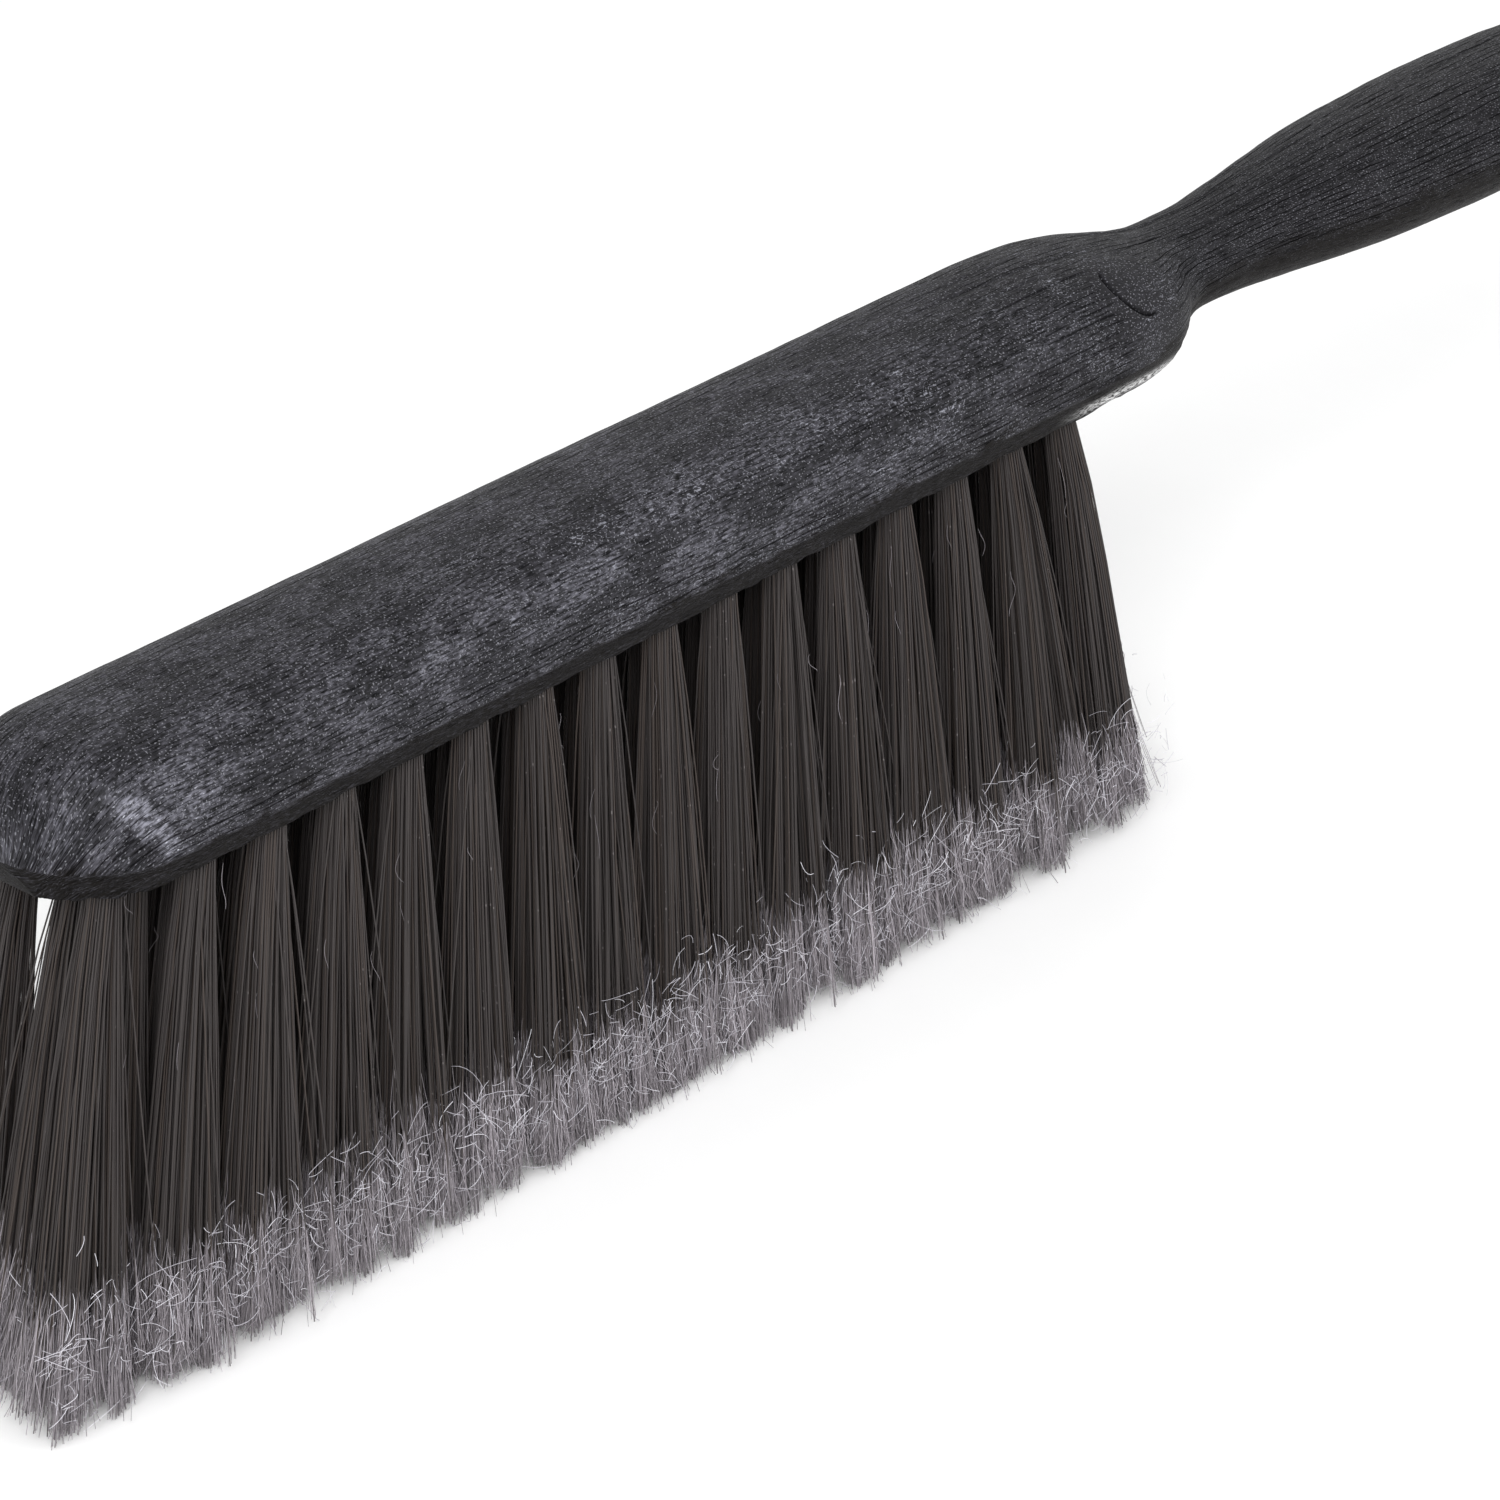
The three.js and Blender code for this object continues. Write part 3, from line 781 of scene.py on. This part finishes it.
def block_material():
    """Black structural-foam plastic with a moulded wood grain, pale scuffs and specks, painted
    highlights on the round-overs, painted shade under it and in its grooves, and a painted reflection
    on the heel.
    """
    n = Nodes("moulded_black_plastic")
    grain = n.add("ShaderNodeAttribute", attribute_name="grain").outputs["Vector"]
    # Scuffs with painted highlight, the handle's darker plainer tone, and painted shade on the
    # underside
    scuffs_and_highlight, calm, below = n.split(n.add("ShaderNodeAttribute", attribute_name="scuffs_and_painted_light"))
    # Painted shade in the grain's grooves and the mould mark's groove, and the heel's painted
    # reflection
    groove, mark, painted_reflection = n.split(n.add("ShaderNodeAttribute", attribute_name="relief"))
    lined, plain, curled = n.split(n.add("ShaderNodeAttribute", attribute_name="lines"))
    fibres = n.noise(n.stretched(grain, (1.7, 0.30, 1)), 1, 3, 0.62)
    crinkle = n.noise(n.stretched(grain, (1.0, 0.5, 1)), 1, 3, 0.6)
    pores = n.noise(n.stretched(grain, (3.2, 0.24, 1)), 1, 1, 0.5)
    veins = n.lines(n.stretched(grain, (26, 4.2, 1)), 1.1, 3.4)
    curls = n.noise(n.stretched(grain, (1.7, 1.0, 1)), 1, 1, 0.5)
    curl_places = n.noise(n.stretched(grain, (11, 6, 1)), 1, 2, 0.6)
    gaps = n.noise(n.stretched(grain, (9, 1.6, 1)), 1, 2, 0.5)
    patches = n.noise(n.stretched(grain, (13, 5, 1)), 1, 3, 0.6)
    tone = n.noise(n.stretched(grain, (70, 3.2, 1)), 1, 3, 0.5)
    flecks = n.noise(n.stretched(grain, (0.8, 0.26, 1)), 1, 1, 0.5)
    specks = n.noise(n.stretched(grain, (0.33, 0.25, 1)), 1, 0, 0.5)

    low = n.mix(n.steps(tone, 0.35, 0.65), rgb(0.0040, 0.0040, 0.0048), rgb(0.0090, 0.0088, 0.0105))
    high = n.mix(n.steps(patches, 0.38, 0.60), rgb(0.030, 0.029, 0.035), rgb(0.074, 0.072, 0.086))
    low = n.mix(calm, low, rgb(0.0080, 0.0078, 0.0094))
    high = n.mix(calm, high, rgb(0.0160, 0.0156, 0.0188))
    weave = n.math("ADD", n.math("MULTIPLY", fibres, 0.55), n.math("MULTIPLY", crinkle, 0.45))
    base = n.mix(n.steps(weave, 0.40, 0.66), low, high)
    # Pale scuffs and painted highlight on the round-overs, brightest at the nose
    scuffs_and_painted_highlight = n.math("MULTIPLY", n.steps(patches, 0.40, 0.66, 0.1, 1.0), scuffs_and_highlight)
    scuffs_and_painted_highlight = n.math("MAXIMUM", scuffs_and_painted_highlight, n.steps(scuffs_and_highlight, 0.45, 0.95, 0.0, 1.0))
    base = n.mix(n.math("MULTIPLY", scuffs_and_painted_highlight, n.steps(weave, 0.42, 0.64, 0.12, 0.9)),
                 base, rgb(0.24, 0.24, 0.285))
    fleck_mask = n.math("MULTIPLY", n.steps(flecks, 0.64, 0.78), n.steps(scuffs_and_painted_highlight, 0.0, 0.8, 0.06, 1))
    base = n.mix(fleck_mask, base, rgb(0.52, 0.53, 0.60))
    base = n.mix(n.math("MULTIPLY", n.steps(specks, 0.66, 0.74), 0.5), base, rgb(0.28, 0.28, 0.31))
    curl_mask = n.steps(n.math("ABSOLUTE", n.math("SUBTRACT", curls, 0.5)), 0.004, 0.022, 1.0, 0.0)
    curl_mask = n.math("MULTIPLY", curl_mask, n.steps(curl_places, 0.49, 0.62, 0.0, 1.0))
    curl_mask = n.math("MULTIPLY", curl_mask, n.steps(fibres, 0.45, 0.58, 0.1, 0.8))
    curl_mask = n.math("MULTIPLY", curl_mask, curled)
    base = n.mix(curl_mask, base, rgb(0.30, 0.305, 0.35))
    pore_mask = n.math("MULTIPLY", n.steps(pores, 0.34, 0.42, 1.0, 0.0), 0.72)
    vein_mask = n.math("MULTIPLY", n.steps(veins, 0.86, 0.97, 0.0, 0.95), n.steps(gaps, 0.40, 0.52))
    vein_mask = n.math("MULTIPLY", vein_mask, lined)
    lines_and_painted_groove_shade = n.math("MAXIMUM", pore_mask, vein_mask)
    # Painted shade in the grain's grooves
    lines_and_painted_groove_shade = n.math("MAXIMUM", lines_and_painted_groove_shade, n.math("MULTIPLY", groove, 0.5))
    lines_and_painted_groove_shade = n.math("MULTIPLY", lines_and_painted_groove_shade, n.math("SUBTRACT", 1.0, plain))
    # Painted shade in the mould mark's groove
    lines_and_painted_groove_shade = n.math("MAXIMUM", lines_and_painted_groove_shade, mark)
    # Painted shade: the underside and its bevels darker and browner
    base = n.mix(n.math("MULTIPLY", below, n.steps(weave, 0.44, 0.64, 1.0, 0.45)),
                 base, rgb(0.0050, 0.0040, 0.0034))
    # Scratches and grain lines, and painted shade in the grooves and the mould mark
    base = n.mix(lines_and_painted_groove_shade, base, rgb(0.0018, 0.0018, 0.0022))
    # Painted reflection: the heel's near bevel painted pale
    base = n.mix(n.math("MULTIPLY", painted_reflection, n.steps(crinkle, 0.38, 0.58)), base, rgb(0.75, 0.75, 0.75))
    n.link(base, n.surface.inputs["Base Color"])
    n.link(n.steps(fibres, 0.3, 0.75, 0.42, 0.64), n.surface.inputs["Roughness"])
    n.surface.inputs["IOR"].default_value = 1.49
    gloss = n.math("MULTIPLY", n.steps(lines_and_painted_groove_shade, 0.0, 1.0, 0.12, 0.02),
                   n.steps(below, 0.0, 1.0, 1.0, 0.6))
    n.link(gloss, n.surface.inputs["Specular IOR Level"])
    height = n.math("SUBTRACT", weave, n.math("MULTIPLY", lines_and_painted_groove_shade, 0.7))
    n.link(n.bump(height, 0.8, 0.00020), n.surface.inputs["Normal"])
    return n.material


def strand_material():
    """Dark satin filament whose end is scuffed pale, and the pale hairs it splits into."""
    n = Nodes("bristle_strand")
    place = n.add("ShaderNodeUVMap", uv_map="OFBake").outputs["UV"]
    parts = n.add("ShaderNodeSeparateXYZ")
    n.link(place, parts.inputs[0])
    along = parts.outputs["X"]
    band = n.math("FLOOR", n.math("MULTIPLY", parts.outputs["Y"], float(BANDS)))
    dice = n.add("ShaderNodeTexWhiteNoise", noise_dimensions="1D")
    n.link(band, dice.inputs["W"])
    lot = dice.outputs["Value"]
    streak_place = n.add("ShaderNodeCombineXYZ")
    n.link(n.math("MULTIPLY", along, 5.0), streak_place.inputs["X"])
    n.link(n.math("MULTIPLY", parts.outputs["Y"], 3.1 * BANDS), streak_place.inputs["Y"])
    streak = n.noise(streak_place.outputs[0], 1, 2, 0.55)

    dark = n.mix(lot, rgb(0.034, 0.0297, 0.0290), rgb(0.044, 0.0380, 0.0371))
    dark = n.mix(n.steps(streak, 0.5, 0.75, 0, 0.4), dark, rgb(0.060, 0.050, 0.046))
    tint = n.add("ShaderNodeTexWhiteNoise", noise_dimensions="1D")
    n.link(n.math("ADD", band, 0.5), tint.inputs["W"])
    is_brown = n.math("GREATER_THAN", tint.outputs["Value"], 0.86)
    dark = n.mix(n.math("MULTIPLY", is_brown, 0.4), dark, rgb(0.060, 0.044, 0.035))
    dust_place = n.add("ShaderNodeCombineXYZ")
    n.link(n.math("MULTIPLY", along, 130.0), dust_place.inputs["X"])
    n.link(n.math("MULTIPLY", parts.outputs["Y"], 2.0 * BANDS), dust_place.inputs["Y"])
    dust = n.noise(dust_place.outputs[0], 1, 0, 0.5)
    dark = n.mix(n.steps(dust, 0.80, 0.86, 0.0, 0.5), dark, rgb(0.22, 0.20, 0.20))
    at_end = n.steps(along, 0.80, 0.90)
    dark = n.mix(at_end, dark, n.mix(lot, rgb(0.10, 0.092, 0.095), rgb(0.26, 0.24, 0.255)))
    pale = n.mix(lot, rgb(0.20, 0.182, 0.196), rgb(0.52, 0.48, 0.52))
    pale = n.mix(n.steps(along, 0.0, 0.3, 0.35, 0.0), pale, rgb(0.07, 0.062, 0.062))
    is_hair = n.math("GREATER_THAN", band, HAIR_BANDS[0] - 0.5)
    is_bright = n.math("GREATER_THAN", band, BRIGHT_BANDS[0] - 0.5)
    colour = n.mix(is_hair, dark, pale)
    colour = n.mix(is_bright, colour, n.mix(lot, rgb(0.5, 0.48, 0.53), rgb(0.85, 0.84, 0.9)))
    n.link(colour, n.surface.inputs["Base Color"])
    n.link(n.steps(streak, 0.2, 0.8, 0.42, 0.6), n.surface.inputs["Roughness"])
    n.surface.inputs["Specular IOR Level"].default_value = 0.3
    n.link(n.bump(streak, 0.12, 0.00005), n.surface.inputs["Normal"])
    return n.material


def floor_material():
    n = Nodes("white_sweep")
    speckle = n.noise(n.add("ShaderNodeTexCoord").outputs["Object"], 60, 3, 0.5)
    n.link(n.mix(speckle, rgb(0.90, 0.90, 0.90), rgb(0.92, 0.92, 0.92)),
           n.surface.inputs["Base Color"])
    n.surface.inputs["Roughness"].default_value = 0.9
    n.surface.inputs["Specular IOR Level"].default_value = 0.1
    return n.material


# ---------------------------------------------------------------- the brush
tufts = [tuft for name in tuft_names for tuft in tufts_of(name)]
# No filament's tip lies outside these, a little past the first and the last tuft
field_ends = (min(tuft.tip[0] - tuft.half_size[0] for tuft in tufts) - 0.5 * MM,
              max(tuft.tip[0] + tuft.half_size[0] for tuft in tufts) + 3.5 * MM)
underside = 70 * MM
plastic = block_material()
strands = strand_material()


# The masks take millimetres behind the nose's end and above the block's underside, and angles
# around the section that are positive over the top
def scuff_and_painted_highlight_mask(behind, along, across, angle):
    """Pale scuffs and painted highlight along the two round-overs, more at the nose, and one painted
    highlight smeared over its near corner.
    """
    is_top = angle > 0
    near_edge = bell(np.abs(angle), math.pi - 0.55, 0.40) * is_top
    far_edge = bell(np.abs(angle), 0.55, 0.40) * is_top
    nose_wear = bell(behind, 14, 16)
    mid_wear = bell(behind, 95, 60)
    scuffs_and_highlight = np.maximum(near_edge, 0.7 * far_edge) * (0.1 + 0.32 * nose_wear + 0.19 * mid_wear)
    # Painted highlight: a pale smear on the nose's near corner, standing in for the light's glint there
    painted_highlight_angle = 2.72 + 0.09 * (behind - 11)
    painted_corner_highlight = bell(behind, 11.5, 3.8) * bell(angle, painted_highlight_angle, 0.2)
    painted_corner_highlight = painted_corner_highlight * (0.75 + 0.55 * soft_noise(along / 2.4, across / 1.8, 13))
    return scuffs_and_highlight + 0.05 * nose_wear + 0.04 + painted_corner_highlight


def painted_underside_shade(behind, along, across, angle):
    """Painted shade on the underside: darker, with a ragged edge on the block and a soft one on the
    handle.
    """
    on_handle = smooth_step(behind, *SHOULDER)
    ragged = soft_noise(along / 2.4, across / 1.4, 11) + 0.6 * soft_noise(along / 6, across / 2, 12)
    under = -np.sign(angle) * rim_angle(angle) + lerp(0.12, 0.16, on_handle) * ragged
    return smooth_step(under, lerp(-0.05, -0.42, on_handle), lerp(0.06, 0.2, on_handle))


def line_masks(behind, y, angle, calm):
    """Where the grain shows dark lines, where the mould mark keeps it plain, and where it curls."""
    is_top = angle > 0
    rim_lines = bell(rim_angle(angle), 0.15, 0.28)
    far_lines = bell(angle, 1.0, 0.4)
    lined = np.clip(np.maximum(0.32 + 0.68 * calm, np.maximum(0.9 * rim_lines, far_lines)), 0, 1)
    plain = 0.85 * smooth_step(mark_reach(behind, y), 1.9, 1.0) * is_top
    on_block = smooth_step(behind, 20, 110) * smooth_step(238 - behind, 0, 30)
    return lined * is_top, plain, on_block * smooth_step(angle, 0.7, 2)


def painted_heel_reflection(behind, y, height, angle):
    """Painted reflection: a pale strip low on the heel's near bevel, where it would reflect the white
    floor.
    """
    at_heel = np.exp(-((behind - 202) / 12) ** 4) * (y < 0)
    on_bevel = smooth_step(height - through(BOTTOM, behind), 0.15, 0.5) * (angle < 0)
    return at_heel * bell(height, 1.1, 0.8) * on_bevel


def add_block_masks(mesh):
    """Stores the grain's coordinates and the masks that the block's material reads."""
    placed = (mesh_points(mesh) - np.array([nose, 0, underside])) / MM
    behind = np.clip(placed[:, 0], 0, MOULDING_LENGTH)
    y = placed[:, 1]
    height = placed[:, 2]
    along, across, angle = grain_place(behind, y, height)
    add_attribute(mesh, "grain", np.column_stack([along, across, np.zeros(len(along))]))

    calm = smooth_step(behind, 120, 235)
    # Pale scuffs with painted highlight on the round-overs
    scuffs_and_highlight = np.clip(scuff_and_painted_highlight_mask(behind, along, across, angle) * (1 - 0.6 * calm), 0, 1)
    # Painted shade: the underside and its bevels darker
    below = painted_underside_shade(behind, along, across, angle)
    add_attribute(mesh, "scuffs_and_painted_light", np.column_stack([scuffs_and_highlight, calm, below]))
    add_attribute(mesh, "lines", np.column_stack(line_masks(placed[:, 0], y, angle, calm)))

    # Painted shade: the grain's grooves darkened, fully on the handle and a fifth as much on the front
    # of the block
    groove = grain_grooves(along, across)[0] * lerp(0.2, 1, calm) * (angle > 0)
    near_mark = bell(placed[:, 0], MARK_PLACE[0], 9) * (y < 0) * (angle > 0)
    # Painted shade in the mould mark's groove, deepest on its lower side
    mark = smooth_step(-mark_height(behind, y, height) / MARK_GROOVE[0], 0.25, 0.8) * near_mark
    # Painted reflection low on the heel's near bevel
    painted_reflection = painted_heel_reflection(behind, y, height, angle)
    # The relief attribute carries painted shade for the grooves and the mould mark, and the painted
    # reflection
    add_attribute(mesh, "relief", np.column_stack([groove, mark, painted_reflection]))


def build_block():
    points = moulding_points()
    ring_count, ring_size = points.shape[:2]
    first = [0, 0, float(through(PARTING, NOSE_LENGTH))]
    last = [MOULDING_LENGTH, 0, float(through(PARTING, MOULDING_LENGTH))]
    all_points = np.vstack([first, points.reshape(-1, 3), last])
    mesh = new_mesh("block_and_handle_moulding", to_frame(all_points),
                    loft_faces(ring_count, ring_size))
    piece = new_object("block_and_handle_moulding", mesh)
    cutters = [
        lathe((tuft.root[0] - nose) / MM, tuft.root[1] / MM,
              [(TUFT_HOLE_RADIUS + TUFT_HOLE_CHAMFER, -1), (TUFT_HOLE_RADIUS, 0.3),
               (TUFT_HOLE_RADIUS, TUFT_HOLE_DEPTH)], 24)
        for tuft in tufts
    ]
    hang = lathe(MOULDING_LENGTH - HANG_HOLE_FROM_END, 0, hang_hole_profile(), 48)
    cut_out(piece, cutters + [hang])
    mesh = piece.data
    add_block_masks(mesh)
    shade_smooth(mesh)
    mesh.materials.clear()
    mesh.materials.append(plastic)
    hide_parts("block_and_handle")
    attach(piece, "root")


build_block()
for number, name in enumerate(tuft_names):
    build_tufts(name, 100 + number, strands)

# ---------------------------------------------------------------- floor, lights and camera
FLOOR_HALF = 3.0
floor_mesh = new_mesh(
    "floor",
    [(-FLOOR_HALF, -FLOOR_HALF, 0), (FLOOR_HALF, -FLOOR_HALF, 0),
     (FLOOR_HALF, FLOOR_HALF, 0), (-FLOOR_HALF, FLOOR_HALF, 0)],
    [(0, 1, 2, 3)],
)
floor_mesh.materials.append(floor_material())
new_object("floor", floor_mesh)

world = bpy.data.worlds.new("studio")
world.use_nodes = True
world.node_tree.nodes["Background"].inputs["Color"].default_value = rgb(1, 1, 1)
world.node_tree.nodes["Background"].inputs["Strength"].default_value = 0.85
bpy.context.scene.world = world


def look_from(place, target):
    return (Vector(target) - Vector(place)).to_track_quat("-Z", "Y").to_euler()


def add_area_light(name, place, target, size, power):
    light = bpy.data.lights.new(name, "AREA")
    light.size = size
    light.energy = power
    lamp = bpy.data.objects.new(name, light)
    lamp.location = place
    lamp.rotation_euler = look_from(place, target)
    bpy.context.scene.collection.objects.link(lamp)


add_area_light("key", (-0.9, -0.7, 0.9), (-0.05, 0, 0.05), size=0.7, power=14)
add_area_light("fill", (0.7, -0.9, 0.7), (0.05, 0, 0.05), size=1.0, power=5)

AZIMUTH = math.radians(-49)
ELEVATION = math.radians(28)
CAMERA_DISTANCE = 0.7115
AIM = (nose + 0.0746, -0.0543, 0.0778)
camera_data = bpy.data.cameras.new("camera")
camera_data.lens = 139.6
camera_data.sensor_width = 36
camera = bpy.data.objects.new("camera", camera_data)
away = Vector((math.sin(AZIMUTH) * math.cos(ELEVATION),
               -math.cos(AZIMUTH) * math.cos(ELEVATION), math.sin(ELEVATION)))
camera.location = Vector(AIM) + away * CAMERA_DISTANCE
camera.rotation_euler = look_from(camera.location, AIM)
bpy.context.scene.collection.objects.link(camera)
bpy.context.scene.camera = camera
bpy.context.scene.view_settings.view_transform = "Standard"
